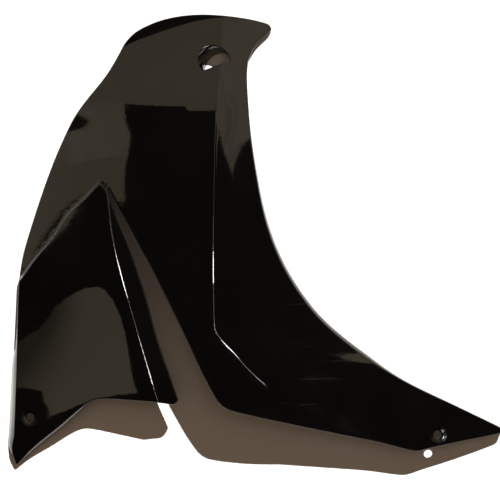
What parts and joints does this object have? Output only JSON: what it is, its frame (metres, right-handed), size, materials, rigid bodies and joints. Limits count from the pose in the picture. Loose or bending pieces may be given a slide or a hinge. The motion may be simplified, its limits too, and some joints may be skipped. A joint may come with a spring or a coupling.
{
  "type": "motorcycle side fairing",
  "caption": "Side fairing of an underbone motorcycle: crowned gloss shell with a raised winglet, an open slot, a swept pointed tail, a D shaped sleeve and dished screw seats.",
  "frame": {"origin": "middle of the bounding box, on the plane that the panel's rim rests on", "axes": "+X towards the tail, +Y towards the brow with the D shaped sleeve, +Z out of the outer skin"},
  "size_m": [0.4966, 0.452, 0.068],
  "materials": {
    "gloss_black": "high gloss moulded black"
  },
  "bodies": {
    "root": {"fairing_panel": "gloss_black"}
  },
  "joints": []
}
